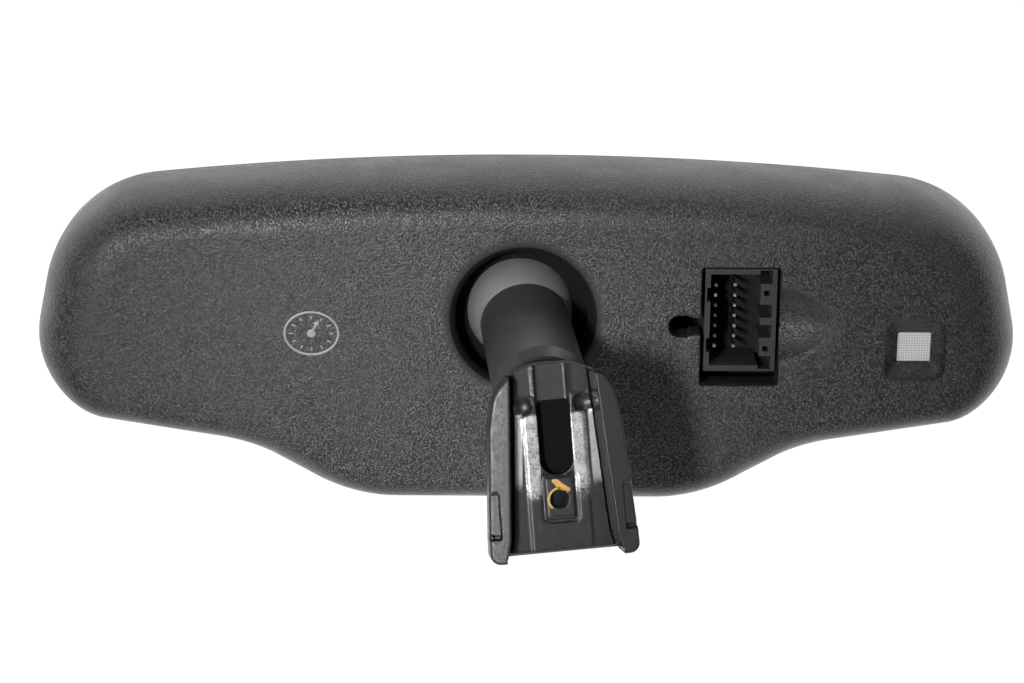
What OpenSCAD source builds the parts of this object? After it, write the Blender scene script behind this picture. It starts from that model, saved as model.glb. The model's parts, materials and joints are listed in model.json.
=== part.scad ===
// Interior rearview mirror with a tube arm, a ball pivot and a windshield foot.
// Row origin: centre line of the foot's seat face, near the open end of its channel.
// +X runs along the mirror, +Z is up, the glass faces +Y and the foot faces -Y.

/* [Mirror head] */
// Height of the outline's upper edge lines where they meet on the centre line
top_peak_z = 37.8; // [36:0.1:39]
// Radius of the long curve along the top edge
top_curve_r = 880; // [700:10:1200]
// Distance of the lower outer corner from the centre line
end_corner_x = 124.1; // [122:0.1:126]
// Depth of the chin below the ball centre
chin_depth = 49.2; // [47:0.1:51]
// Plane where the rear housing meets the bezel
parting_y = 16; // [15.5:0.1:16.5]
// Plane of the flat back face
back_y = -12; // [-12.5:0.1:-11.5]
// Front plane of the bezel
bezel_front_y = 23; // [22.8:0.1:24]
// Wall thickness of the housing and the bezel
wall = 2.2; // [1.8:0.1:2.4]
// How far the back rolls in at the ends before it is flat
roll_ends = 19; // [16:0.5:20]
// How far the back rolls in along the top
roll_top = 12; // [10:0.5:14]
// How far the back rolls in along the bottom
roll_bottom = 8; // [6:0.5:10]

/* [Ball pivot] */
// Radius of the pivot ball
ball_r = 13.3; // [13:0.1:13.3]
// Running clearance between the ball and each shell around it
socket_gap = 0.05; // [0.03:0.01:0.1]
// Radius of the hole in the housing, inside its rounded lip
opening_r = 16.2; // [16.2:0.1:16.6]

/* [Arm and foot] */
// Distance from the ball centre to the foot's seat plane, along the arm
arm_length = 61; // [58:0.1:64]
// Outer radius of the arm tube where its end bevel starts
tube_r = 11.1; // [10.8:0.1:11.2]
// Distance from the ball centre to the bevelled end of the tube
tube_end = 39.2; // [38:0.1:39.5]
// Swing of the arm to the side
arm_yaw = 7.7; // [5:0.1:8]
// Droop of the arm below the horizontal
arm_pitch = 14.9; // [12:0.1:16]
// Turn of the arm about its own axis
arm_roll = -3.5; // [-6:0.1:0]
// Angle between the arm and the foot's outward normal
foot_lean = 28.3; // [26:0.1:30]

/* [Connector] */
// Spacing of the connector pins
pin_pitch = 2.54; // [2.5:0.01:2.6]
// Pins in each of the two columns
pins_per_column = 7; // [5:1:7]

/* [Buttons] */
// Spacing of the three chin buttons
button_pitch = 21; // [19:0.5:22]
// Height of the button row below the ball centre
button_z = -40; // [-41:0.5:-39.5]

/* [Hidden] */
$fn = 64;
eps = 0.01;

// Layers of the head, front to back
glass_front_y = 21.5;
glass_t = 1.8;
gel_t = 0.3;
rear_glass_front_y = glass_front_y - glass_t - gel_t;
foam_t = 1;
carrier_y = 14.6;
carrier_t = 2;
board_y = 9;
board_t = 1.6;

// Outline corners of the head, right half, as [x, z, radius]
head_corners = [
    [0, top_peak_z, top_curve_r],
    [112.6, 26.7, 30.9],
    [end_corner_x, -26.1, 20.3],
    [68.9, -35, 38.8],
    [43.5, -chin_depth, 46.3]
];
// Outline corners of the mirror glass, right half
glass_corners = [
    [0, top_peak_z - 3.4, top_curve_r - 3.4],
    [109.8, 23.6, 27.5],
    [end_corner_x - 4.1, -23.3, 16.9],
    [0, -36.8, 900]
];
top_steps = 4;
corner_steps = 8;
inner_wall_y = back_y + wall;

// Socket radii, from the ball outwards
liner_in_r = ball_r + socket_gap;
liner_out_r = liner_in_r + 1.4;
cup_in_r = liner_out_r + socket_gap;
cup_out_r = cup_in_r + 2;
frame_in_r = cup_out_r + socket_gap;
frame_out_r = 19.6;
shell_front = -4;
shell_rear = 9;
clamp_split_y = 1;
clamp_rear_y = 8;
opening_x = -0.8;
lip_r = 1.8;
// Distance of the head's centre line from the ball centre, along X
head_shift = 1.5;

// Screws: [x, z] places in the head
board_screw_at = [[-34, 12], [-34, -24], [76, 11], [76, -22]];
carrier_screw_at = [[-98, 0], [-62, 18], [-62, -23], [103, 6], [50, 19.5]];
frame_screw_angles = [60, 180, 300];
frame_screw_reach = 25.5;
clamp_screw_angles = [0, 120, 240];
clamp_screw_reach = 20.6;
screw_r = 1.25;
pilot_r = 1.3;
screw_hole_r = 1.6;
screw_head_r = 2.6;

// Connector, keyhole slot, finger scoop and light lens places, [x, z]
header_at = [50.95, -0.7];
header_size = [17.1, 25.3];
header_mouth_y = -10;
header_wall = 1.3;
cutout_at = [50.85, -1.9];
cutout_size = [18.7, 29.2];
pin_columns = [45.3, 49.9];
pin_middle_z = -0.9;
pin_w = 0.64;
pin_tip_y = -5.3;
keyhole_z = -1.8;
scoop_z = -1.1;
lens_at = [92.9, -7.5];
lens_size = [8, 7.2];
lens_pocket = [13.8, 14.6];

// Glare sensor's place, [x, z]
glare_at = [22, 13];

// Buttons
button_size = [17, 8];
button_travel = 0.8;

// Foot, in its own axes: X across, Z up the foot, -Y outwards from the seat
seat_up = 20;
rail_h = 4.5;
plate_t = 3.2;
foot_top_z = 24.7;
foot_top_r = 14.9;
foot_end_half = 16.9;
foot_floor_end = -3.6;
foot_leg_end = -5.2;
channel_half_open = 12;
channel_taper = 4;
screw_up = 8.1;
set_screw_r = 2;

// Tube and the spigot it fits over
tube_ball_r = 10.6;
tube_wall = 2.9;
tube_bevel = 2.6;
tube_bevel_step = 1.1;
spigot_r = 8.15;

// ---------- Placing ----------

function turn_x(a, v) = [v[0], v[1] * cos(a) - v[2] * sin(a), v[1] * sin(a) + v[2] * cos(a)];
function turn_y(a, v) = [v[0] * cos(a) + v[2] * sin(a), v[1], -v[0] * sin(a) + v[2] * cos(a)];
function turn_z(a, v) = [v[0] * cos(a) - v[1] * sin(a), v[0] * sin(a) + v[1] * cos(a), v[2]];
function arm_turn(v) = turn_z(arm_yaw, turn_x(arm_pitch, turn_y(arm_roll, v)));

// The ball centre, measured from the seat point at the row origin
ball_at = -arm_turn([0, -arm_length, 0] + turn_x(-foot_lean, [0, 0, -seat_up]));

// Socket axes, with the ball centre as origin
module at_ball() {
    translate(ball_at) children();
}

// Head axes: level with the ball centre, on the head's own centre line
module at_head() {
    translate(ball_at + [head_shift, 0, 0]) children();
}

// Arm axes: the arm runs from the ball towards -Y
module at_arm() {
    at_ball()
    rotate([0, 0, arm_yaw])
    rotate([arm_pitch, 0, 0])
    rotate([0, arm_roll, 0])
    children();
}

// Foot axes: the seat plane is y = 0 and the channel opens towards -Y
module at_foot() {
    at_arm()
    translate([0, -arm_length, 0])
    rotate([-foot_lean, 0, 0])
    translate([0, 0, -seat_up])
    children();
}

// A cylinder along Y from y0 to y1 at [x, z]
module rod_y(at, y0, y1, r1, r2 = -1) {
    translate([at[0], y0, at[1]])
    rotate([-90, 0, 0])
    cylinder(h = y1 - y0, r1 = r1, r2 = r2 < 0 ? r1 : r2);
}

// A block from y0 to y1, centred on [x, z]
module block_y(at, size, y0, y1) {
    translate([at[0] - size[0] / 2, y0, at[1] - size[1] / 2])
    cube([size[0], y1 - y0, size[1]]);
}

// A block with rounded corners from y0 to y1, centred on [x, z]
module round_block_y(at, size, r, y0, y1) {
    block_y(at, [size[0] - 2 * r, size[1]], y0, y1);
    block_y(at, [size[0], size[1] - 2 * r], y0, y1);
    for (sx = [-1, 1], sz = [-1, 1])
        rod_y([at[0] + sx * (size[0] / 2 - r), at[1] + sz * (size[1] / 2 - r)], y0, y1, r);
}

// ---------- Outlines ----------

// One rounded corner as [x, z, outward normal x, outward normal z] points
function rounded_corner(before, at, after, r, steps) =
    let (
        back = (before - at) / norm(before - at),
        ahead = (after - at) / norm(after - at),
        half = acos(back * ahead) / 2,
        middle = at + (back + ahead) / norm(back + ahead) * r / sin(half),
        first = at + back * r / tan(half) - middle,
        bend = cross(at - before, after - at) < 0 ? 1 : -1,
        from = atan2(first[1], first[0]),
        sweep = -bend * (180 - 2 * half)
    )
    [for (k = [0:steps])
        let (t = from + sweep * k / steps)
        concat(middle + r * [cos(t), sin(t)], bend * [cos(t), sin(t)])];

function flat2(v) = [v[0], v[1]];
function mirrored(v) = [-v[0], v[1]];

// The right half of an outline, from the top centre point to the bottom
function half_outline(c) =
    let (
        last = len(c) - 1,
        top = rounded_corner(mirrored(c[1]), flat2(c[0]), flat2(c[1]), c[0][2], 2 * top_steps)
    )
    concat(
        [for (k = [top_steps:2 * top_steps]) top[k]],
        [for (i = [1:last - 1], p = rounded_corner(
            flat2(c[i - 1]), flat2(c[i]), flat2(c[i + 1]), c[i][2], corner_steps)) p]
    );
function head_half() =
    let (c = head_corners, last = len(c) - 1)
    concat(
        half_outline(c),
        rounded_corner(flat2(c[last - 1]), flat2(c[last]), mirrored(c[last]),
            c[last][2], corner_steps)
    );
function glass_half() =
    let (
        c = glass_corners,
        last = len(c) - 1,
        base = rounded_corner(flat2(c[last - 1]), flat2(c[last]), mirrored(c[last - 1]),
            c[last][2], 2 * top_steps)
    )
    concat(half_outline(c), [for (k = [0:top_steps]) base[k]]);

// A half outline moved inwards: d[0] along X normals, d[1] along the top, d[2] along the bottom
function inset_half(half, d) = [
    for (p = half)
        let (k = d[0] * p[2] * p[2] + (p[3] > 0 ? d[1] : d[2]) * p[3] * p[3])
        [p[0] - k * p[2], p[1] - k * p[3]]
];
function same_inset(d) = [d, d, d];
function whole(half) = concat(
    half,
    [for (i = [len(half) - 1:-1:1]) if (half[i][0] > eps) mirrored(half[i])]
);

// A prism of a half outline, from y0 to y1
module outline_prism(half, inset, y0, y1) {
    translate([0, y1, 0])
    rotate([90, 0, 0])
    linear_extrude(y1 - y0)
    polygon(whole(inset_half(half, same_inset(inset))));
}

// A closed skin through rings that all come from the same half outline.
// Each ring is [y, inset], from the back forwards; flat strips close the first and last rings.
module ring_loft(half, rings) {
    m = len(half);
    n = 2 * m - 1;
    points = [
        for (ring = rings)
            let (right = inset_half(half, ring[1]))
            for (i = [0:n - 1])
                i < m ? [right[i][0], ring[0], right[i][1]] : [-right[n - i][0], ring[0], right[n - i][1]]
    ];
    last = n * (len(rings) - 1);
    sides = [
        for (k = [0:len(rings) - 2], i = [0:n - 1], part = [0, 1])
            let (a = k * n + i, b = k * n + (i + 1) % n)
            part == 0 ? [a, b + n, b] : [a, a + n, b + n]
    ];
    start_cap = concat(
        [[0, 1, n - 1]],
        [for (i = [1:m - 2], part = [0, 1])
            part == 0 ? [i, n - i - 1, n - i] : [i, i + 1, n - i - 1]]
    );
    end_cap = [for (f = start_cap) [last + f[0], last + f[2], last + f[1]]];
    polyhedron(points, concat(sides, start_cap, end_cap));
}

// Share of the roll-in reached at angle a, and of the depth
function roll_share(a) = 1 - pow(cos(a), 0.8);
function depth_share(a) = pow(sin(a), 0.8);
roll_in = [roll_ends, roll_top, roll_bottom];
outer_rings = [
    for (a = [90, 78, 66, 54, 43, 33, 23, 14, 6, 0])
        [parting_y + (back_y - parting_y) * depth_share(a), roll_in * roll_share(a)]
];
inner_rings = [
    for (a = [0, 20, 38, 55, 72, 90])
        [parting_y + (inner_wall_y - parting_y) * depth_share(a),
            same_inset(wall) + (roll_in - same_inset(wall / 2)) * roll_share(a)]
];

// ---------- Head shells ----------

module rear_housing() {
    color("#323235")
    at_head()
    difference() {
        union() {
            ring_loft(head_half(), concat(outer_rings, inner_rings));
            housing_bosses();
            housing_pads();
        }
        housing_opening();
        block_y(cutout_at, cutout_size, back_y - 1, header_mouth_y + 6);
        keyhole_slot();
        finger_scoop(0);
        lens_opening();
        housing_pilots();
    }
}

// A frame screw's place in head axes
function frame_screw_spot(a) = frame_screw_reach * [cos(a), sin(a)] - [head_shift, 0];

module housing_bosses() {
    for (p = board_screw_at) rod_y(p, inner_wall_y - 0.5, board_y, 3);
    for (p = carrier_screw_at) rod_y(p, inner_wall_y - 0.5, carrier_y, 3);
    for (a = frame_screw_angles)
        rod_y(frame_screw_spot(a), inner_wall_y - 0.5, -6.5, 3);
}

module housing_pilots() {
    for (p = board_screw_at) rod_y(p, board_y - 7, board_y + 1, pilot_r);
    for (p = carrier_screw_at) rod_y(p, carrier_y - 7, carrier_y + 1, pilot_r);
    for (a = frame_screw_angles)
        rod_y(frame_screw_spot(a), inner_wall_y, -5.5, pilot_r);
}

// Thicker places behind the scoop and the light lens
module housing_pads() {
    intersection() {
        finger_scoop(2);
        block_y([66, scoop_z], [14, 26], back_y + 1, -3);
    }
    block_y(lens_at, lens_pocket + [3, 3], back_y + 1, back_y + 5);
}

// The ball opening, with a rounded lip
module housing_opening() {
    translate([opening_x, 0, 0])
    turned_y()
    difference() {
        union() {
            translate([0, back_y - 1]) square([opening_r, 1 + wall + 1.5]);
            translate([0, back_y - 1]) square([opening_r + lip_r, 1 + lip_r]);
        }
        translate([opening_r + lip_r, back_y + lip_r]) circle(lip_r);
    }
}

module keyhole_slot() {
    rod_y([36.6, keyhole_z], back_y - 1, inner_wall_y + 1, 2.75);
    block_y([40, keyhole_z], [6.4, 4], back_y - 1, inner_wall_y + 1);
}

// A shallow half-cone hollow beside the connector
module finger_scoop(more) {
    translate([cutout_at[0] + cutout_size[0] / 2 - 0.6 - more / 2, back_y - 6, scoop_z])
    rotate([0, 90, 0])
    cylinder(h = 14.2 + more, r1 = 11.1 + more, r2 = 6 + more);
}

module lens_opening() {
    round_block_y(lens_at, lens_pocket, 2.4, back_y - 1, back_y + 3);
    block_y(lens_at, lens_size + [0.6, 0.6], back_y, back_y + 6);
}

module front_bezel() {
    color("#1d1d1f")
    at_head()
    difference() {
        ring_loft(head_half(), [
            [parting_y, same_inset(0)],
            [parting_y + 2.5, same_inset(0.75)],
            [bezel_front_y - 1.2, same_inset(1.8)],
            [bezel_front_y - 0.4, same_inset(2.4)],
            [bezel_front_y, same_inset(3.2)]
        ]);
        outline_prism(head_half(), wall + 0.8, parting_y - 1, bezel_front_y - wall);
        outline_prism(glass_half(), -0.2, parting_y - 1, glass_front_y + 0.1);
        outline_prism(glass_half(), 1.6, parting_y - 1, bezel_front_y + 1);
        for (x = [-1, 0, 1])
            round_block_y([x * button_pitch, button_z], button_size + [0.6, 0.6], 1.5,
                parting_y, bezel_front_y + 1);
        rod_y([33.5, button_z], parting_y, bezel_front_y + 1, 1.05);
    }
}

// ---------- Glass stack ----------

module front_glass() {
    color("#2c3136")
    at_head() outline_prism(glass_half(), 0, glass_front_y - glass_t, glass_front_y);
}

module rear_glass() {
    color("#b9bfc4")
    at_head()
    outline_prism(glass_half(), 0.6, rear_glass_front_y - glass_t, rear_glass_front_y);
}

module ec_seal() {
    color("#c9b98f")
    at_head()
    difference() {
        outline_prism(glass_half(), 0.6, rear_glass_front_y, rear_glass_front_y + gel_t);
        outline_prism(glass_half(), 3, rear_glass_front_y - 1, rear_glass_front_y + 1);
    }
}

module ec_gel() {
    color("#6f7f86")
    at_head()
    outline_prism(glass_half(), 3.05, rear_glass_front_y, rear_glass_front_y + gel_t);
}

// A thin strip that feeds current to one edge of the glass
module bus_bar(z) {
    back = rear_glass_front_y - glass_t;
    color("#c58a4b")
    at_head() {
        block_y([0, z], [150, 3], back - 0.2, back);
        block_y([73.5, z - sign(z) * 3], [3, 6], back - 0.2, back);
    }
}
module upper_bus_bar() { bus_bar(24); }
module lower_bus_bar() { bus_bar(-28.4); }

module foam_pad() {
    back = rear_glass_front_y - glass_t;
    color("#4a4a4c")
    at_head()
    difference() {
        outline_prism(glass_half(), 10, back - foam_t, back);
        for (z = [24, -28.4]) block_y([0, z], [151, 4], back - 0.3, back + 1);
        for (z = [20.9, -25.3]) block_y([73.5, z], [4, 8], back - 0.3, back + 1);
        rod_y(glare_at, back - 2, back + 1, 3);
    }
}

module carrier_plate() {
    color("#29292b")
    at_head()
    difference() {
        outline_prism(glass_half(), 5, carrier_y, carrier_y + carrier_t);
        for (p = carrier_screw_at) {
            rod_y(p, carrier_y - 1, carrier_y + 3, screw_hole_r);
            rod_y(p, carrier_y + 0.8, carrier_y + 3, screw_head_r + 0.3);
        }
        rod_y(glare_at, carrier_y - 1, carrier_y + 3, 2.55);
        block_y([0, -32], [62, 8], carrier_y - 1, carrier_y + 3);
    }
}

// Pan-head screw with a cross slot: the head rests on y = head_y and the shank runs to -Y
module screw(at, head_y, length, head_h) {
    difference() {
        union() {
            rod_y(at, head_y, head_y + head_h, screw_head_r);
            rod_y(at, head_y - length, head_y + eps, screw_r);
        }
        block_y(at, [3, 0.7], head_y + head_h * 0.4, head_y + head_h + 1);
        block_y(at, [0.7, 3], head_y + head_h * 0.4, head_y + head_h + 1);
    }
}

module carrier_screws() {
    color("#8d9196")
    at_head()
    for (p = carrier_screw_at) screw(p, carrier_y + 0.8, 7, 1.1);
}

// ---------- Electronics ----------

module circuit_board() {
    color("#20563a")
    at_head()
    difference() {
        translate([0, board_y + board_t, 0])
        rotate([90, 0, 0])
        linear_extrude(board_t)
        polygon([[-40, 15], [98, 15], [98, -20], [52, -28], [38, -44.5], [-38, -44.5],
            [-44, -28], [-44, 10]]);
        rod_y([0, 0], board_y - 1, board_y + 3, 20.5);
        for (p = board_screw_at) rod_y(p, board_y - 1, board_y + 3, screw_hole_r);
        for (x = pin_columns, k = [0:pins_per_column - 1])
            block_y([x, pin_z(k)], [0.9, 0.9], board_y - 1, board_y + 3);
    }
}

module board_screws() {
    color("#8d9196")
    at_head()
    for (p = board_screw_at) screw(p, board_y + board_t, 7, 1.5);
}

// A flat chip with a row of leads on two sides, on the board's front or back
module chip(at, size, leads, pitch, y0, h) {
    block_y(at, size, y0 + 0.2, y0 + h);
    for (side = [-1, 1], k = [0:leads - 1])
        block_y([at[0] + side * (size[0] / 2 + 0.4), at[1] + (k - (leads - 1) / 2) * pitch],
            [1.2, pitch / 2], y0, y0 + 0.5);
}

module microcontroller() {
    color("#141416")
    at_head() chip([66, -8], [9, 12], 11, 1, board_y + board_t, 1.6);
}

module dimming_driver() {
    color("#17171a")
    at_head() chip([-31, -6], [5, 9], 7, 1.27, board_y + board_t, 1.6);
}

module capacitors() {
    color("#55575c")
    at_head()
    for (x = [76, 84]) {
        rod_y([x, -1], board_y - 7, board_y - 0.6, 3.1);
        block_y([x, -1], [6.6, 6.6], board_y - 0.6, board_y);
    }
}

module glare_sensor() {
    color("#26262b")
    at_head() block_y(glare_at, [4, 3.2], board_y + board_t, board_y + board_t + 1.4);
}

module glare_light_pipe() {
    color("#dfe6ea")
    at_head()
    union() {
        rod_y(glare_at, board_y + board_t + 1.6, rear_glass_front_y - glass_t - 0.05, 2.3);
        rod_y(glare_at, board_y + board_t + 1.6, carrier_y - 0.1, 3.2);
    }
}

module ambient_sensor() {
    color("#26262b")
    at_head() block_y(lens_at, [4, 3.2], board_y - 1.4, board_y);
}

// A square white light window whose stem carries light to the sensor
module ambient_light_lens() {
    color("#f2f2f0")
    at_head()
    union() {
        block_y(lens_at, lens_size, back_y + 3.6, back_y + 6);
        block_y(lens_at, lens_size + [2.4, 2.4], back_y + 5.2, back_y + 6.6);
        block_y(lens_at, [5, 5], back_y + 6, board_y - 1.7);
    }
}

module tact_switches() {
    color("#3a3a3e")
    at_head()
    for (x = [-1, 0, 1]) {
        block_y([x * button_pitch, button_z], [6, 6], board_y + board_t, board_y + 5.1);
        rod_y([x * button_pitch, button_z], board_y + 5, board_y + 6.2, 1.6);
    }
}

// A chin button: cap, stop flange and plunger
module chin_button(x) {
    at = [x, button_z];
    color("#19191b")
    at_head()
    union() {
        round_block_y(at, button_size, 1.2, bezel_front_y - 4.2, bezel_front_y + 0.8);
        block_y(at, button_size + [1.6, 1.6], bezel_front_y - 5, bezel_front_y - wall - 0.4);
        rod_y(at, board_y + 6.2 + button_travel + 0.35, bezel_front_y - 5 + eps, 2.2);
    }
}
module button_left() { chin_button(-button_pitch); }
module button_centre() { chin_button(0); }
module button_right() { chin_button(button_pitch); }

module indicator_led() {
    color("#c8d8c8")
    at_head() block_y([33.5, button_z], [2, 1.4], board_y + board_t, board_y + board_t + 0.8);
}

module indicator_light_pipe() {
    color("#e8ece8")
    at_head()
    union() {
        rod_y([33.5, button_z], board_y + board_t + 1.1, bezel_front_y - 0.05, 1);
        rod_y([33.5, button_z], bezel_front_y - wall - 1, bezel_front_y - wall, 1.8);
    }
}

// ---------- Connector ----------

function pin_z(k) = pin_middle_z + (k - (pins_per_column - 1) / 2) * pin_pitch;

module connector_header() {
    left = header_at[0] - header_size[0] / 2;
    top = header_at[1] + header_size[1] / 2;
    floor_y = 5;
    latch_x = left + 13.2;
    color("#2b2b2e")
    at_head()
    difference() {
        block_y(header_at, header_size, header_mouth_y, board_y);
        // main socket
        translate([left + header_wall, header_mouth_y - 1, top - header_size[1] + 1.4])
        cube([latch_x - left - header_wall, floor_y + 1 - header_mouth_y, header_size[1] - 2.7]);
        // pockets between the latch blocks
        for (z = [10, 1.6, -3.4, -11.2])
            block_y([latch_x + 1.3, z], [3, 3.2], header_mouth_y - 1, 2);
        // latch windows
        for (z = [6, -7.8])
            block_y([latch_x + 1.5, z], [1.3, 1.3], header_mouth_y - 1, 0);
        // keying notches in the left wall
        for (z = [5.6, -6.9])
            block_y([left + header_wall - 0.2, z], [1.2, 3.4], header_mouth_y - 1, 3);
        // pin holes
        for (x = pin_columns, k = [0:pins_per_column - 1])
            block_y([x, pin_z(k)], [pin_w, pin_w], floor_y - 1, board_y + 1);
    }
}

module connector_pins() {
    color("#c9a35a")
    at_head()
    for (x = pin_columns, k = [0:pins_per_column - 1])
        block_y([x, pin_z(k)], [pin_w, pin_w], pin_tip_y, board_y + board_t + 1);
}

// ---------- Ball socket ----------

// The hollow inside the frame and the clamp ring: a ball with a straight front mouth
module socket_hollow() {
    mouth_r = sqrt(pow(frame_in_r, 2) - pow(shell_front - 0.6, 2));
    turned_y() {
        half_disc(frame_in_r, shell_front - 0.6, frame_in_r + 1);
        translate([0, inner_wall_y - 1]) square([mouth_r, 1 - inner_wall_y]);
    }
}

// Ring with screw lobes, from y0 to y1
module lobed_ring(y0, y1, lobe_y0, lobe_y1) {
    rod_y([0, 0], y0, y1, frame_out_r, $fn = 96);
    for (a = clamp_screw_angles)
        rod_y(clamp_screw_reach * [cos(a), sin(a)], lobe_y0, lobe_y1, 3.2);
}

module socket_frame() {
    color("#45474b")
    at_ball()
    difference() {
        union() {
            lobed_ring(inner_wall_y + 0.1, clamp_split_y, -4, clamp_split_y);
            for (a = frame_screw_angles)
                rotate([0, -a, 0])
                translate([frame_out_r - 3, -6.5, -3.4])
                cube([frame_screw_reach + 3 - frame_out_r + 3, 2.5, 6.8]);
        }
        socket_hollow();
        for (a = frame_screw_angles)
            rod_y(frame_screw_reach * [cos(a), sin(a)], -8, -3, screw_hole_r);
        for (a = clamp_screw_angles)
            rod_y(clamp_screw_reach * [cos(a), sin(a)], -5, clamp_split_y + 1, pilot_r);
    }
}

module frame_screws() {
    color("#8d9196")
    at_ball()
    for (a = frame_screw_angles)
        screw(frame_screw_reach * [cos(a), sin(a)], -4, 5, 1.4);
}

module clamp_ring() {
    color("#4b4d52")
    at_ball()
    difference() {
        lobed_ring(clamp_split_y, clamp_rear_y, clamp_split_y, clamp_split_y + 3);
        socket_hollow();
        for (a = clamp_screw_angles) {
            at = clamp_screw_reach * [cos(a), sin(a)];
            rod_y(at, clamp_split_y - 1, clamp_rear_y + 1, screw_hole_r);
            rod_y(at, clamp_split_y + 3, clamp_rear_y + 1, screw_head_r + 0.25);
        }
    }
}

module clamp_screws() {
    color("#8d9196")
    at_ball()
    for (a = clamp_screw_angles)
        screw(clamp_screw_reach * [cos(a), sin(a)], clamp_split_y + 3, 7, 1.4);
}

// A solid of revolution about Y: the 2D children have X as radius and Y as height
module turned_y() {
    rotate([-90, 0, 0]) rotate_extrude($fn = 96) children();
}

// Half disc of radius r between two heights
module half_disc(r, y0, y1) {
    intersection() {
        circle(r, $fn = 96);
        translate([0, y0]) square([r + 1, y1 - y0]);
    }
}

// A ball shell between two radii, cut off by two planes across Y
module ball_shell(inner, outer) {
    turned_y()
    difference() {
        half_disc(outer, shell_front, shell_rear);
        circle(inner, $fn = 96);
    }
}

module socket_cup() {
    color("#3b3b3e")
    at_ball() ball_shell(cup_in_r, cup_out_r);
}

module ball_liner() {
    color("#222224")
    at_ball() ball_shell(liner_in_r, liner_out_r);
}

// ---------- Arm ----------

module pivot_ball() {
    color("#a9abad")
    at_arm()
    difference() {
        union() {
            turned_y() half_disc(ball_r, -ball_r - 1, shell_rear);
            rod_y([0, 0], -22, -8, spigot_r);
        }
        rod_y([0, 0], -23, shell_rear + 1, 3.5);
    }
}

module arm_tube() {
    color("#232325")
    at_arm()
    difference() {
        union() {
            rod_y([0, 0], -tube_end + tube_bevel, -6, tube_r, tube_ball_r, $fn = 96);
            rod_y([0, 0], -tube_end, -tube_end + tube_bevel, tube_r - tube_bevel_step, tube_r,
                $fn = 96);
        }
        rod_y([0, 0], -tube_end - 1, -5, tube_r - tube_wall);
        sphere(ball_r, $fn = 96);
    }
}

// The outside of the foot seen face on: straight flared sides and a round top
module foot_blank(y0, y1) {
    translate([0, y1, 0])
    rotate([90, 0, 0])
    linear_extrude(y1 - y0)
    polygon(concat(
        [[-foot_end_half, foot_leg_end], [foot_end_half, foot_leg_end]],
        [for (a = [0:7.5:180]) [foot_top_r * cos(a), foot_top_z + foot_top_r * sin(a)]]
    ));
}

// One side rail with an undercut inner face, side is -1 or 1
module foot_rail(side) {
    translate([side * channel_half_open, 0, foot_leg_end])
    rotate([0, -side * channel_taper, 0])
    translate([0, 0, -5])
    linear_extrude(60)
    polygon([[0, -rail_h], [side * 20, -rail_h], [side * 20, plate_t], [side * 1.6, plate_t],
        [side * 1.6, 0]]);
}

module mount_foot() {
    color("#3a3a3c")
    at_foot()
    difference() {
        union() {
            intersection() {
                foot_blank(-rail_h, plate_t);
                union() {
                    for (side = [-1, 1]) foot_rail(side);
                    translate([-20, 0, foot_floor_end]) cube([40, plate_t, 60]);
                }
            }
            // spigot and shoulder towards the tube
            intersection() {
                translate([0, 0, seat_up])
                rotate([foot_lean, 0, 0])
                union() {
                    rod_y([0, 0], 1.4, 38, spigot_r);
                    rod_y([0, 0], 1.4, arm_length - tube_end - 0.8, 9.2);
                }
                translate([-20, 1, -10]) cube([40, 60, 80]);
            }
            // thicker place behind the set screw
            rod_y([0, screw_up], 1, 6, 4);
            // small ears on the outer lower corners
            for (side = [-1, 1])
                translate([side * (foot_end_half + 0.3) - 0.8, -rail_h, foot_leg_end + 1.5])
                cube([1.6, rail_h + plate_t, 5]);
        }
        foot_slot();
        foot_grooves();
        rod_y([0, screw_up], -1, 7, set_screw_r + 0.05);
    }
}

// The wire slot: square at the top, round at the bottom, deep into the spigot
module foot_slot() {
    slot_r = 3.65;
    translate([-slot_r, -1, 13.5 + slot_r]) cube([2 * slot_r, 13, 16.2 - slot_r]);
    rod_y([0, 13.5 + slot_r], -1, 12, slot_r);
}

// Shallow grooves that leave the sliding lands, and a frame round the screw boss
module foot_grooves() {
    for (side = [-1, 1]) {
        translate([side * 6.9 - 0.5, -1, -6]) cube([1, 1.6, 38]);
        translate([side * 11.6, 0, foot_leg_end])
        rotate([0, -side * channel_taper, 0])
        translate([-0.6, -1, -1])
        cube([1.2, 1.7, 50]);
        // relief step on the outer edge of the rail
        translate([side * 16.3 - 0.8, -rail_h - 1, 0.5]) cube([1.6, 1.8, 9]);
    }
    difference() {
        block_y([0, screw_up + 0.3], [9.4, 10.8], -1, 0.6);
        block_y([0, screw_up + 0.3], [7.4, 9.1], 0.1, 1);
    }
}

module set_screw() {
    color("#1a1a1c")
    at_foot()
    difference() {
        rod_y([0, screw_up], 1.2, 5.8, set_screw_r);
        translate([0, 4.2, screw_up]) rotate([-90, 0, 0]) cylinder(h = 3, r = 1.15, $fn = 6);
    }
}

rear_housing();
front_bezel();
front_glass();
rear_glass();
ec_seal();
ec_gel();
upper_bus_bar();
lower_bus_bar();
foam_pad();
carrier_plate();
carrier_screws();
circuit_board();
board_screws();
microcontroller();
dimming_driver();
capacitors();
glare_sensor();
glare_light_pipe();
ambient_sensor();
ambient_light_lens();
tact_switches();
button_left();
button_centre();
button_right();
indicator_led();
indicator_light_pipe();
connector_header();
connector_pins();
socket_frame();
frame_screws();
clamp_ring();
clamp_screws();
socket_cup();
ball_liner();
pivot_ball();
arm_tube();
mount_foot();
set_screw();
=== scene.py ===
"""Looks for the interior rearview mirror: refined shells, the die-cast foot, materials, light and camera."""

import json
import math

import bmesh
import bpy
import numpy as np
from mathutils import Matrix, Vector
from mathutils.geometry import delaunay_2d_cdt


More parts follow.
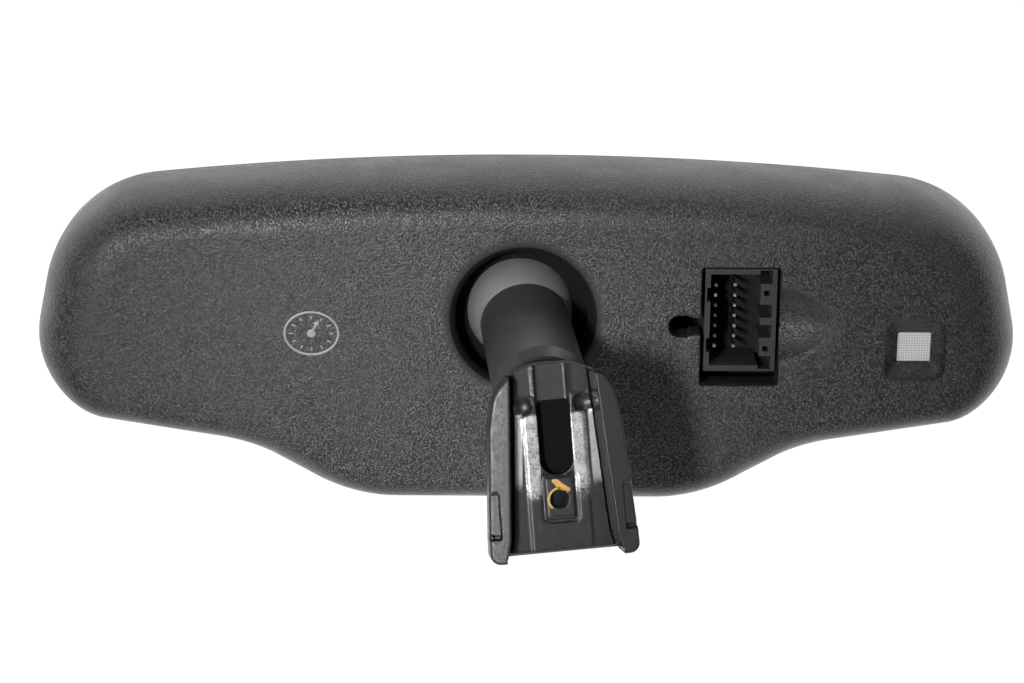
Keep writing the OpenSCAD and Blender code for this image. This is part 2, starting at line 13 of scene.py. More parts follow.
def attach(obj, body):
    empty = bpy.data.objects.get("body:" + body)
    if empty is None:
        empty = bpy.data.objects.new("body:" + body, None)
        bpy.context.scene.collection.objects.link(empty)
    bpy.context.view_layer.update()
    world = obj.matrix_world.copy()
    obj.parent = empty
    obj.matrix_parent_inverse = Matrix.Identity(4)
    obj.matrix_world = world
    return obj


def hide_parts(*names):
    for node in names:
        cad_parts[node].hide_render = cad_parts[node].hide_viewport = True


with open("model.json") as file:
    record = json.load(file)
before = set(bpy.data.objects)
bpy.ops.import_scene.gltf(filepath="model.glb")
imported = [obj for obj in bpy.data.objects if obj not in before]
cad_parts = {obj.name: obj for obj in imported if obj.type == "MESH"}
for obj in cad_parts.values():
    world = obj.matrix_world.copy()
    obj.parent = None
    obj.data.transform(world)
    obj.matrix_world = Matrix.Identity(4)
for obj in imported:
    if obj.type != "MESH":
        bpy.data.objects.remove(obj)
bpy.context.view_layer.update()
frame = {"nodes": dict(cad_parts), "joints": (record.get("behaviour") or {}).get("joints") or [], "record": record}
NODES = frame["nodes"]
MM = 0.001

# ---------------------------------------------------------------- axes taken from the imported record

JOINTS = {joint["name"]: joint for joint in frame["joints"]}
MOUNTS = {mount["name"]: mount for mount in frame["record"]["mounts"]}
BALL = Vector(JOINTS["ball_tilt"]["pos_m"])
# the harness connector and the middle of the ball opening, in millimetres in the head's frame
CONNECTOR_AT = (50.95, -10, -0.7)
OPENING_AT = (-0.8, -12, 0)


def axes_matrix(origin, x, y, z):
    """A placing matrix from an origin and three unit axes."""
    turn = Matrix((x, y, z)).transposed().to_4x4()
    return Matrix.Translation(origin) @ turn


def head_axes():
    """The head's own centre line, a little to the right of the ball centre."""
    connector = Vector(MOUNTS["harness_connector"]["pos_m"])
    return Matrix.Translation(connector - Vector(CONNECTOR_AT) * MM)


def arm_axes():
    """The arm runs from the ball towards -Y."""
    y = -Vector(JOINTS["ball_twist"]["axis"]).normalized()
    z = Vector((1, 0, 0)).cross(y).normalized()
    return axes_matrix(BALL, y.cross(z), y, z)


def foot_axes():
    """The seat plane is y = 0, the channel opens towards -Y and z runs up the foot."""
    y = -Vector(MOUNTS["windshield_seat"]["axis"]).normalized()
    z = -Vector(MOUNTS["button_channel"]["axis"]).normalized()
    return axes_matrix(Vector(MOUNTS["windshield_seat"]["pos_m"]), y.cross(z), y, z)


HEAD = head_axes()
ARM = arm_axes()
FOOT = foot_axes()

# ---------------------------------------------------------------- outlines, in millimetres

CLOSEST_POINTS = 0.01
FEWEST_ARC_STEPS = 5


def rounded(corners, spacing):
    """A closed outline through (x, z, radius) corners given clockwise.

    Its points are (x, z, normal x, normal z), and the normals point outwards.
    """
    count = len(corners)
    arcs = []
    for i in range(count):
        before = Vector(corners[i - 1][:2])
        at = Vector(corners[i][:2])
        after = Vector(corners[(i + 1) % count][:2])
        radius = corners[i][2]
        back = (before - at).normalized()
        ahead = (after - at).normalized()
        half = math.acos(max(-1.0, min(1.0, back.dot(ahead)))) / 2
        start = at + back * radius / math.tan(half)
        centre = at + (back + ahead).normalized() * radius / math.sin(half)
        bend = 1 if (at - before).cross(after - at) < 0 else -1
        first = math.atan2(start.y - centre.y, start.x - centre.x)
        sweep = -bend * (math.pi - 2 * half)
        steps = max(FEWEST_ARC_STEPS, math.ceil(abs(sweep) * radius / spacing))
        arc = []
        for k in range(steps + 1):
            angle = first + sweep * k / steps
            way = Vector((math.cos(angle), math.sin(angle)))
            spot = centre + way * radius
            arc.append((spot.x, spot.y, bend * way.x, bend * way.y))
        arcs.append(arc)
    points = []
    for i, arc in enumerate(arcs):
        points += arc
        end, begin = Vector(arc[-1][:2]), Vector(arcs[(i + 1) % count][0][:2])
        gaps = int((begin - end).length / spacing)
        for k in range(1, gaps):
            spot = end.lerp(begin, k / gaps)
            points.append((spot.x, spot.y, arc[-1][2], arc[-1][3]))
    clean = []
    for p in points:
        if not clean or math.hypot(p[0] - clean[-1][0], p[1] - clean[-1][1]) > CLOSEST_POINTS:
            clean.append(p)
    return clean


def flat_loop(outline):
    """The outline's (x, z) points without their normals."""
    return [(p[0], p[1]) for p in outline]


def both_halves(half):
    """Corners of the right half, top centre first, made into the whole outline."""
    middle = [c for c in half if c[0] == 0]
    right = [c for c in half if c[0] != 0]
    left = [(-x, z, r) for x, z, r in reversed(right)]
    return middle[:1] + right + middle[1:] + left


def box_corners(x, z, width, height, radius):
    """Corners of a rounded rectangle, clockwise from its upper left."""
    w, h = width / 2, height / 2
    return [(x - w, z + h, radius), (x + w, z + h, radius), (x + w, z - h, radius), (x - w, z - h, radius)]


def circle_points(x, z, radius, count):
    """A circle as (x, z, normal x, normal z) points, clockwise."""
    turns = [-2 * math.pi * k / count for k in range(count)]
    return [(x + radius * math.cos(a), z + radius * math.sin(a), math.cos(a), math.sin(a)) for a in turns]


def inset(outline, ends, top=None, bottom=None):
    """The outline moved inwards, by different amounts at the ends, the top and the bottom."""
    top = ends if top is None else top
    bottom = top if bottom is None else bottom
    moved = []
    for x, z, nx, nz in outline:
        amount = ends * nx * nx + (top if nz > 0 else bottom) * nz * nz
        moved.append((x - amount * nx, z - amount * nz))
    return moved


def inside(points, loop):
    """Which of the points lie inside a closed loop, by the even-odd rule."""
    px, pz = points[:, 0], points[:, 1]
    hit = np.zeros(len(points), bool)
    for (x0, z0), (x1, z1) in zip(loop, loop[1:] + loop[:1]):
        if z0 == z1:
            continue
        crosses = (z0 > pz) != (z1 > pz)
        hit ^= crosses & (px < (x1 - x0) * (pz - z0) / (z1 - z0) + x0)
    return hit


def outside(points, loops):
    """Which of the points lie in none of the loops."""
    keep = np.ones(len(points), bool)
    for loop in loops:
        keep &= ~inside(points, loop)
    return keep


# ---------------------------------------------------------------- mesh building


class Shape:
    """Points and faces in millimetres, gathered before they become one piece."""

    def __init__(self):
        self.points = []
        self.faces = []

    def ring(self, loop, heights):
        """Adds a ring of points at (x, z), with one height or a height for each.

        Returns the index of the ring's first point.
        """
        start = len(self.points)
        if not isinstance(heights, (list, tuple)):
            heights = [heights] * len(loop)
        self.points += [(p[0], y, p[1]) for p, y in zip(loop, heights)]
        return start

    def join(self, a, b, count):
        """Joins two rings of the same count with four-sided faces."""
        for i in range(count):
            j = (i + 1) % count
            self.faces.append((a + i, a + j, b + j, b + i))

    def rings(self, rings):
        """Joins a list of (loop, heights) rings, one to the next, and returns the last one's index."""
        last = None
        for loop, heights in rings:
            here = self.ring(loop, heights)
            if last is not None:
                self.join(last, here, len(loop))
            last = here
        return last

    def cap(self, start, count):
        """Closes a ring with one face."""
        self.faces.append(tuple(range(start, start + count)))

    def fill(self, outer, holes, extra, height):
        """Fills the region between loops with triangles.

        extra holds points to use inside it, and height is a function of (x, z) arrays.
        """
        loops = [outer] + holes
        coords = [Vector(p) for loop in loops for p in loop]
        edges = []
        start = 0
        for loop in loops:
            edges += [(start + i, start + (i + 1) % len(loop)) for i in range(len(loop))]
            start += len(loop)
        if len(extra):
            coords += [Vector(p) for p in extra[inside(extra, outer) & outside(extra, holes)]]
        found = delaunay_2d_cdt(coords, edges, [], 0, 1e-5)
        flat = np.array([(v.x, v.y) for v in found[0]])
        tris = np.array([t for t in found[2] if len(t) == 3])
        middle = flat[tris].mean(axis=1)
        keep = inside(middle, outer) & outside(middle, holes)
        first = len(self.points)
        ys = height(flat[:, 0], flat[:, 1])
        self.points += [(p[0], y, p[1]) for p, y in zip(flat.tolist(), ys.tolist())]
        self.faces += [tuple(first + i for i in t) for t in tris[keep].tolist()]

    def piece(self, name, place, body, material, slot, sharp=38, weld=0.004,
              inner=None, is_inner=None):
        """Makes the object, in metres and in the row frame, riding on a body.

        sharp is in degrees, and points nearer than weld millimetres become one. Faces whose
        middle passes is_inner(x, y, z) take the inner material.
        """
        mesh = bpy.data.meshes.new(name)
        mesh.from_pydata([place @ (Vector(p) * MM) for p in self.points], [], self.faces)
        made = bmesh.new()
        made.from_mesh(mesh)
        bmesh.ops.remove_doubles(made, verts=made.verts, dist=weld * MM)
        loose = [v for v in made.verts if not v.link_faces]
        bmesh.ops.delete(made, geom=loose, context="VERTS")
        bmesh.ops.recalc_face_normals(made, faces=made.faces)
        made.to_mesh(mesh)
        made.free()
        mesh.materials.append(material)
        if inner is not None:
            mesh.materials.append(inner)
            back = place.inverted()
            for face in mesh.polygons:
                if is_inner(*((back @ face.center) / MM)):
                    face.material_index = 1
        mesh.shade_smooth()
        mesh.set_sharp_from_angle(angle=math.radians(sharp))
        thing = put_in_scene(name, mesh)
        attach(thing, body)
        return thing


def grid_points(x0, x1, z0, z1, step):
    """A grid of points in which every other row is shifted by half a step."""
    xs = np.arange(x0, x1 + step / 2, step)
    zs = np.arange(z0, z1 + step / 2, step)
    gx, gz = np.meshgrid(xs, zs)
    gx = gx + (np.arange(len(zs)) % 2 * step / 2)[:, None]
    return np.column_stack([gx.ravel(), gz.ravel()])


def lip_rings(outline, radius, height, steps=6):
    """Rings of a rounded edge from the face into a hole.

    The outline's normals point away from the hole, into the material.
    """
    rings = []
    for k in range(steps + 1):
        angle = math.pi / 2 * k / steps
        out = radius * (1 - math.sin(angle))
        loop = [(x + nx * out, z + nz * out) for x, z, nx, nz in outline]
        drop = radius * (1 - math.cos(angle))
        rings.append((loop, [height(p[0], p[1]) + drop for p in loop]))
    return rings


def turned(shape, profile, count):
    """Turns a (y, radius) profile about Y."""
    turns = [2 * math.pi * k / count for k in range(count)]
    shape.rings([([(radius * math.cos(a), radius * math.sin(a)) for a in turns], y)
                 for y, radius in profile])


def put_in_scene(name, data):
    thing = bpy.data.objects.new(name, data)
    bpy.context.scene.collection.objects.link(thing)
    return thing


# ---------------------------------------------------------------- materials


class Paint:
    """A small helper that adds nodes to one material.

    The colour, roughness and metallic it starts with are the plain values, for a surface or
    an export that shows no pattern. Sizes are in millimetres.
    """

    def __init__(self, name, color, roughness, metallic=0.0):
        self.material = bpy.data.materials.new(name)
        self.material.use_nodes = True
        self.nodes = self.material.node_tree.nodes
        self.links = self.material.node_tree.links
        self.shader = self.nodes["Principled BSDF"]
        self.shader.inputs["Base Color"].default_value = (*color, 1)
        self.shader.inputs["Roughness"].default_value = roughness
        self.shader.inputs["Metallic"].default_value = metallic
        self.place = self.nodes.new("ShaderNodeTexCoord").outputs["Object"]

    def set(self, socket, value):
        self.shader.inputs[socket].default_value = value

    def link(self, source, target):
        self.links.new(source, target)

    def feed(self, socket, source):
        """Links a pattern to one of the shader's sockets."""
        self.link(source, self.shader.inputs[socket])

    def math(self, operation, a, b=0.0):
        node = self.nodes.new("ShaderNodeMath")
        node.operation = operation
        for i, value in enumerate((a, b)):
            if isinstance(value, (int, float)):
                node.inputs[i].default_value = value
            else:
                self.link(value, node.inputs[i])
        return node.outputs[0]

    def noise(self, size_mm, detail=2.0, rough=0.5):
        node = self.nodes.new("ShaderNodeTexNoise")
        node.inputs["Scale"].default_value = 1000 / size_mm
        node.inputs["Detail"].default_value = detail
        node.inputs["Roughness"].default_value = rough
        self.link(self.place, node.inputs["Vector"])
        return node.outputs["Fac"]

    def cells(self, size_mm, feature="F1"):
        node = self.nodes.new("ShaderNodeTexVoronoi")
        node.feature = feature
        node.inputs["Scale"].default_value = 1000 / size_mm
        self.link(self.place, node.inputs["Vector"])
        return node.outputs["Distance"]

    def ramp(self, value, stops):
        """A smooth step; stops are the value's lowest and highest, then what they become."""
        node = self.nodes.new("ShaderNodeMapRange")
        node.interpolation_type = "SMOOTHSTEP"
        self.link(value, node.inputs["Value"])
        for name, number in zip(("From Min", "From Max", "To Min", "To Max"), stops):
            node.inputs[name].default_value = number
        return node.outputs["Result"]

    def colors(self, factor, first, second):
        """Mixes two colours, each given as numbers or as a node's output."""
        node = self.nodes.new("ShaderNodeMix")
        node.data_type = "RGBA"
        self.link(factor, node.inputs["Factor"])
        for socket, value in (("A", first), ("B", second)):
            target = [s for s in node.inputs if s.name == socket and s.type == "RGBA"][0]
            if isinstance(value, tuple):
                target.default_value = (*value, 1)
            else:
                self.link(value, target)
        return [s for s in node.outputs if s.type == "RGBA"][0]

    def bump(self, height, depth_mm, strength=1.0):
        node = self.nodes.new("ShaderNodeBump")
        node.inputs["Strength"].default_value = strength
        node.inputs["Distance"].default_value = depth_mm * MM
        self.link(height, node.inputs["Height"])
        self.feed("Normal", node.outputs["Normal"])

    def distance(self, centre, axes):
        """The distance in millimetres from a point, counted along the chosen axes only."""
        shift = self.nodes.new("ShaderNodeVectorMath")
        shift.operation = "SUBTRACT"
        self.link(self.place, shift.inputs[0])
        shift.inputs[1].default_value = tuple(centre)
        flat = self.nodes.new("ShaderNodeVectorMath")
        flat.operation = "MULTIPLY"
        self.link(shift.outputs[0], flat.inputs[0])
        flat.inputs[1].default_value = tuple(Vector(axes) * 1000)
        size = self.nodes.new("ShaderNodeVectorMath")
        size.operation = "LENGTH"
        self.link(flat.outputs[0], size.inputs[0])
        return size.outputs["Value"]

    def along(self, direction):
        """The distance in millimetres from the row origin along a direction."""
        node = self.nodes.new("ShaderNodeVectorMath")
        node.operation = "DOT_PRODUCT"
        self.link(self.place, node.inputs[0])
        node.inputs[1].default_value = tuple(Vector(direction) * 1000)
        return node.outputs["Value"]


GRAIN_CELL, GRAIN_FINE, GRAIN_SPECK, GRAIN_DEPTH = 0.54, 0.38, 0.46, 0.13
# where the grained texture and the lip's painted shade fade in, in millimetres from the opening's middle
GRAIN_AND_LIP_SHADE_FADES = (17.4, 20.5)


def grained_plastic():
    """Black plastic with a sand-grained face: its lighter crests are partly tone and partly painted glints, and
    near the ball opening the texture fades out and the colour darkens as painted shade.
    """
    paint = Paint("grained_black_plastic", (0.017, 0.017, 0.0185), 0.42)
    centre = HEAD.translation + Vector(OPENING_AT) * MM
    reach = paint.distance(centre, (1, 0, 1))
    # low near the ball opening: smooths the bump and gloss there, and dims the colour as painted shade
    grain_clear_of_lip_shade = paint.ramp(reach, (*GRAIN_AND_LIP_SHADE_FADES, 0.12, 1.0))
    cell = paint.ramp(paint.cells(GRAIN_CELL), (0.05, 0.62, 1.0, 0.0))
    fine = paint.noise(GRAIN_FINE, 2.0)
    height = paint.math("ADD", cell, paint.math("MULTIPLY", fine, 1.1))
    paint.bump(paint.math("MULTIPLY", height, grain_clear_of_lip_shade), GRAIN_DEPTH, 1.0)
    cloud = paint.noise(9.0, 3.0)
    dull = paint.math("ADD", paint.ramp(cloud, (0.3, 0.7, 0.36, 0.44)), paint.ramp(grain_clear_of_lip_shade, (0, 1, 0.45, 0)))
    paint.feed("Roughness", dull)
    # the crests' lighter colour is partly the plastic's own tone and partly painted glints
    crests = paint.math("ADD", paint.noise(GRAIN_SPECK, 2.0, 0.6), paint.math("MULTIPLY", cell, 0.3))
    speck_and_glint = paint.math("MULTIPLY", paint.ramp(crests, (0.4, 0.9, 0, 1)), grain_clear_of_lip_shade)
    paint.feed("Base Color", paint.colors(speck_and_glint, (0.002, 0.002, 0.0025), (0.058, 0.058, 0.062)))
    return paint.material


def shades(color, low, high):
    """A darker and a lighter shade of a colour."""
    return tuple(c * low for c in color), tuple(c * high for c in color)


def smooth_plastic(name, color, roughness, grain_mm=0.25, depth_mm=0.004):
    """Moulded plastic: almost smooth, with slight changes of gloss."""
    paint = Paint(name, color, roughness)
    paint.bump(paint.noise(grain_mm, 3.0), depth_mm, 0.6)
    paint.feed("Roughness", paint.ramp(paint.noise(6.0, 3.0), (0.3, 0.7, roughness - 0.04, roughness + 0.05)))
    paint.feed("Base Color", paint.colors(paint.noise(3.0, 4.0), *shades(color, 0.8, 1.2)))
    return paint.material


def painted_depth_shade(paint, color, mouth, floor):
    """Painted shade: dims a colour with depth into the head, from one y in the head's frame to another."""
    inward = HEAD.to_3x3().col[1]
    depth = paint.math("SUBTRACT", paint.along(inward), HEAD.translation.dot(inward) / MM)
    shade = paint.ramp(depth, (mouth, floor, 0, 1))
    lit = paint.colors(paint.noise(2.0, 3.0), *shades(color, 0.8, 1.2))
    unlit = tuple(c * 0.04 for c in color)
    paint.feed("Base Color", paint.colors(shade, lit, unlit))
    paint.feed("Roughness", paint.ramp(shade, (0, 1, 0.36, 0.9)))
    paint.bump(paint.noise(0.25, 3.0), 0.004, 0.6)
    return paint.material


def painted_shade_black(name):
    """Painted shade: a dull near-black with weak specular, for a surface that lies inside an opening."""
    paint = Paint(name, (0.002, 0.002, 0.002), 0.9)
    tone = paint.colors(paint.noise(0.6, 3.0), (0.001, 0.001, 0.001), (0.006, 0.006, 0.006))
    paint.feed("Base Color", tone)
    paint.bump(paint.noise(0.4, 3.0), 0.02, 0.5)
    paint.set("Specular IOR Level", 0.12)
    return paint.material


def satin_metal(name, color, roughness, metallic=1.0):
    """Metal with a fine even blast finish and faint stains."""
    paint = Paint(name, color, roughness, metallic)
    paint.bump(paint.noise(0.25, 3.0), 0.003, 0.8)
    dull = paint.ramp(paint.noise(4.0, 4.0), (0.25, 0.75, roughness - 0.06, roughness + 0.08))
    paint.feed("Roughness", dull)
    stain = tuple(c * 0.86 for c in color)
    paint.feed("Base Color", paint.colors(paint.noise(2.2, 5.0), stain, color))
    return paint.material


def cast_foot_metal():
    """Black die-cast zinc, worn to bright metal on the lands that a button slides along."""
    paint = Paint("cast_zinc_worn", (0.03, 0.03, 0.032), 0.42)
    across, inward, up = (FOOT.to_3x3().col[i] for i in range(3))
    side = paint.along(across)
    x = paint.math("ABSOLUTE", side)
    y = paint.along(inward)
    z = paint.along(up)
    floor_only = paint.ramp(y, (-0.9, -0.5, 0, 1))
    shallow = paint.ramp(y, (0.9, 1.6, 1, 0))
    here = paint.math("MULTIPLY", floor_only, shallow)
    # speckled wear beside the slot, thinning out towards the open end
    beside = paint.math("MULTIPLY", paint.ramp(x, (3.4, 3.9, 0, 1)), paint.ramp(x, (6.9, 7.8, 1, 0)))
    speckled = paint.math("MULTIPLY", beside, paint.math(
        "MULTIPLY", paint.ramp(z, (2.5, 12.0, 0, 1)), paint.ramp(z, (26.6, 28.4, 1, 0))))
    # polished lands further out: the left one runs at a slight slant
    lean = paint.math("MULTIPLY", paint.math("SUBTRACT", 27, z), 0.073)
    from_left = paint.math("ABSOLUTE", paint.math("ADD", side, paint.math("ADD", lean, 7.7)))
    from_right = paint.math("ABSOLUTE", paint.math("SUBTRACT", side, 9.0))
    lands = paint.math("MAXIMUM", paint.ramp(from_left, (0.65, 1.1, 1, 0)),
                       paint.ramp(from_right, (0.9, 1.7, 1, 0)))
    polished = paint.math("MULTIPLY", lands, paint.math(
        "MULTIPLY", paint.ramp(z, (6.0, 15.0, 0, 1)), paint.ramp(z, (27.2, 28.2, 1, 0))))
    speckle = paint.noise(0.3, 3.0, 0.75)
    patch = paint.noise(2.2, 3.0)
    salt = paint.math("ADD", speckle, paint.math("MULTIPLY", patch, 0.35))
    share = paint.math("SUBTRACT", paint.math("ADD", paint.math("MULTIPLY", speckled, 0.66), salt), 1.1)
    grains = paint.ramp(share, (0.0, 0.34, 0, 1))
    smooth = paint.ramp(paint.math("ADD", polished, paint.math("MULTIPLY", salt, 0.55)), (0.85, 1.35, 0, 0.8))
    bright = paint.math("MULTIPLY", paint.math("MAXIMUM", grains, smooth), here)
    paint.feed("Metallic", paint.math("MULTIPLY", bright, 0.9))
    black = paint.colors(paint.noise(0.5, 4.0), (0.006, 0.006, 0.0064), (0.015, 0.015, 0.0155))
    metal = paint.colors(patch, (0.36, 0.36, 0.35), (0.62, 0.62, 0.6))
    paint.feed("Base Color", paint.colors(bright, black, metal))
    paint.feed("Roughness", paint.ramp(paint.noise(0.9, 3.0), (0.3, 0.7, 0.38, 0.52)))
    height = paint.math("ADD", paint.noise(0.3, 3.0), paint.math("MULTIPLY", paint.noise(1.2, 2.0), 0.8))
    paint.bump(height, 0.03, 0.6)
    return paint.material


LENS_GRID = 0.62


def lens_white():
    """White diffusing plastic with a fine square grid behind its face."""
    paint = Paint("white_lens", (0.6, 0.6, 0.59), 0.3)
    grid = None
    for direction in ((1, 0, 0), (0, 0, 1)):
        cell = paint.math("FRACT", paint.math("DIVIDE", paint.along(direction), LENS_GRID))
        line = paint.ramp(paint.math("ABSOLUTE", paint.math("SUBTRACT", cell, 0.5)), (0.32, 0.46, 0, 1))
        grid = line if grid is None else paint.math("MAXIMUM", grid, line)
    cloud = paint.colors(paint.noise(4.0, 2.0), (0.76, 0.76, 0.755), (0.66, 0.66, 0.65))
    paint.feed("Base Color", paint.colors(grid, cloud, (0.42, 0.42, 0.41)))
    paint.bump(grid, 0.03, 0.5)
    paint.set("Subsurface Weight", 0.15)
    paint.set("Subsurface Radius", (0.002, 0.002, 0.002))
    return paint.material


def mirror_glass():
    """The mirror seen through its clear front pane: a faint tint and a polished face."""
    paint = Paint("mirror_pane", (0.4, 0.425, 0.44), 0.02, 1.0)
    tint = paint.colors(paint.noise(60.0, 2.0), (0.385, 0.41, 0.425), (0.42, 0.44, 0.455))
    paint.feed("Base Color", tint)
    haze = paint.ramp(paint.noise(25.0, 4.0), (0.35, 0.75, 0.012, 0.035))
    paint.feed("Roughness", haze)
    paint.set("Coat Weight", 0.3)
    paint.set("Coat Roughness", 0.01)
    return paint.material


def clear_plastic():
    """Clear acrylic with a faintly uneven tint."""
    paint = Paint("clear_acrylic", (0.85, 0.88, 0.9), 0.1)
    paint.bump(paint.noise(1.5, 2.0), 0.004, 0.5)
    tint = paint.colors(paint.noise(2.0, 2.0), (0.8, 0.84, 0.86), (0.9, 0.92, 0.93))
    paint.feed("Base Color", tint)
    paint.set("Transmission Weight", 0.9)
    return paint.material


def board_mask():
    """Solder mask, near black with a faint green, with fine copper tracks under it."""
    paint = Paint("solder_mask", (0.02, 0.1, 0.045), 0.32)
    tracks = paint.ramp(paint.cells(2.6, "DISTANCE_TO_EDGE"), (0.03, 0.06, 1, 0))
    paint.feed("Base Color", paint.colors(tracks, (0.0015, 0.004, 0.003), (0.003, 0.009, 0.006)))
    paint.bump(tracks, 0.03, 0.5)
    return paint.material


GRAINED = grained_plastic()
BEZEL_PLASTIC = smooth_plastic("bezel_plastic", (0.014, 0.014, 0.015), 0.36)
BUTTON_PLASTIC = smooth_plastic("button_plastic", (0.011, 0.011, 0.012), 0.44, 0.18, 0.006)
INNER_PLASTIC = smooth_plastic("inner_plastic", (0.02, 0.02, 0.021), 0.5)
# the header and the pins darken with depth as painted shade
HEADER_PLASTIC_SHADED = painted_depth_shade(Paint("header_plastic", (0.026, 0.026, 0.027), 0.4),
                            (0.028, 0.028, 0.029), -9.6, -6.4)
SLOT_SHADE_BLACK = painted_shade_black("slot_painted_shade")
LIP_SHADE_BLACK = painted_shade_black("lip_painted_shade")
# the socket parts are black plastic, made with the near-black of painted shade
SOCKET_PLASTIC_SHADED = painted_shade_black("socket_plastic")
TUBE_BLACK = smooth_plastic("tube_black", (0.026, 0.026, 0.0265), 0.36, 0.5, 0.002)
CHIP_PLASTIC = smooth_plastic("chip_plastic", (0.012, 0.012, 0.013), 0.4)
FOAM = smooth_plastic("foam_tape", (0.05, 0.05, 0.052), 0.9, 0.4, 0.05)
SEAL = smooth_plastic("seal_epoxy", (0.4, 0.36, 0.26), 0.5)
BALL_METAL = satin_metal("ball_metal", (0.115, 0.116, 0.118), 0.55, metallic=0.2)
SCREW_STEEL = satin_metal("screw_steel", (0.55, 0.56, 0.58), 0.3)
BLACK_STEEL = satin_metal("black_steel", (0.03, 0.03, 0.031), 0.35)
COPPER = satin_metal("copper_strip", (0.75, 0.42, 0.22), 0.3)
GOLD_PINS_SHADED = painted_depth_shade(Paint("gold_pins", (0.5, 0.45, 0.36), 0.36, 1.0),
                  (0.62, 0.57, 0.47), -5.0, -4.0)
CAN = satin_metal("capacitor_can", (0.6, 0.6, 0.62), 0.32)
CAST = cast_foot_metal()
LENS = lens_white()
MIRROR = mirror_glass()
CLEAR = clear_plastic()
BOARD = board_mask()

NODE_PAINT = {
    "front_glass": MIRROR, "rear_glass": MIRROR, "ec_seal": SEAL, "ec_gel": CLEAR,
    "upper_bus_bar": COPPER, "lower_bus_bar": COPPER, "foam_pad": FOAM,
    "carrier_plate": INNER_PLASTIC, "carrier_screws": SCREW_STEEL,
    "circuit_board": BOARD, "board_screws": SCREW_STEEL,
    "microcontroller": CHIP_PLASTIC, "dimming_driver": CHIP_PLASTIC, "capacitors": CAN,
    "glare_sensor": CHIP_PLASTIC, "glare_light_pipe": CLEAR, "ambient_sensor": CHIP_PLASTIC,
    "ambient_light_lens": LENS, "tact_switches": CHIP_PLASTIC,
    "button_left": BUTTON_PLASTIC, "button_centre": BUTTON_PLASTIC, "button_right": BUTTON_PLASTIC,
    "indicator_led": CLEAR, "indicator_light_pipe": CLEAR,
    "connector_header": HEADER_PLASTIC_SHADED, "connector_pins": GOLD_PINS_SHADED,
    "socket_frame": SOCKET_PLASTIC_SHADED, "frame_screws": SCREW_STEEL,
    "clamp_ring": SOCKET_PLASTIC_SHADED, "clamp_screws": SCREW_STEEL,
    "socket_cup": SOCKET_PLASTIC_SHADED, "ball_liner": SOCKET_PLASTIC_SHADED,
    "pivot_ball": BALL_METAL, "arm_tube": TUBE_BLACK, "set_screw": BLACK_STEEL,
    "rear_housing": GRAINED, "front_bezel": BEZEL_PLASTIC, "mount_foot": CAST,
}
for name, paint in NODE_PAINT.items():
    mesh = NODES[name].data
    mesh.materials.clear()
    mesh.materials.append(paint)


SOFTEN_ANGLE = 35


def soften(node, width_mm, segments=2):
    """Rounds the sharp edges of a carried-over part a little."""
    bevel = NODES[node].modifiers.new("soft_edges", "BEVEL")
    bevel.width = width_mm * MM
    bevel.segments = segments
    bevel.limit_method = "ANGLE"
    bevel.angle_limit = math.radians(SOFTEN_ANGLE)
    bevel.harden_normals = True


# ---------------------------------------------------------------- head shells

# corners of the right half, top centre first: x, z and the radius that rounds them
HEAD_HALF = [(0, 37.8, 880), (112.6, 26.7, 30.9), (124.1, -26.1, 20.3), (68.9, -35, 38.8),
             (43.5, -49.2, 46.3)]
GLASS_HALF = [(0, 34.4, 876.6), (109.8, 23.6, 27.5), (120, -23.3, 16.9), (0, -36.8, 900)]
HEAD_OUTLINE = rounded(both_halves(HEAD_HALF), 1.4)
GLASS_OUTLINE = rounded(both_halves(GLASS_HALF), 1.6)
PARTING_Y, BACK_Y, FRONT_Y = 16.0, -12.0, 23.0
# how far the rolled edge reaches in at the ends, the top and the bottom
ROLL = (19.0, 12.0, 8.0)
BUTTON_PITCH, BUTTON_Z = 21.0, -40.0
GLASS_INSET = 1.6
OPENING_RADIUS, LIP_REACH = 16.2, 17.5
LENS_POCKET_AT = (92.9, -7.5)
# the scoop is a round hollow about a level axis, axis_rise outside the face, that tapers to its right
SCOOP = {"x0": 59.6, "z": -1.1, "axis_rise": 6.0, "r0": 11.1, "r1": 6.0, "length": 14.2}
SCOOP_SOFTNESS, SCOOP_TRIM = 0.16, 0.012
SCOOP_X, SCOOP_REACH = (56, 80), 13
# the connector window: left, right, low and high
CUTOUT = (41.5, 60.2, -16.5, 12.7)


def scoop_depth(x, z):
    """How far the finger scoop lies below the flat back, with soft borders."""
    share = np.clip((x - SCOOP["x0"]) / SCOOP["length"], -0.5, 1.5)
    radius = SCOOP["r0"] + (SCOOP["r1"] - SCOOP["r0"]) * np.sign(share) * np.abs(share) ** 1.6
    half = np.sqrt(np.maximum(radius ** 2 - (z - SCOOP["z"]) ** 2, 0))
    depth = half - SCOOP["axis_rise"]
    soft = 0.5 * (depth + np.sqrt(depth ** 2 + SCOOP_SOFTNESS))
    near = (x > SCOOP_X[0]) & (x < SCOOP_X[1]) & (np.abs(z - SCOOP["z"]) < SCOOP_REACH)
    return np.where(near, np.maximum(soft - SCOOP_TRIM, 0), 0.0)


def back_height(x, z):
    """The y of the back's face, as a function of (x, z) arrays."""
    return BACK_Y + scoop_depth(np.asarray(x, float), np.asarray(z, float))


def back_at(x, z):
    return float(back_height(x, z))


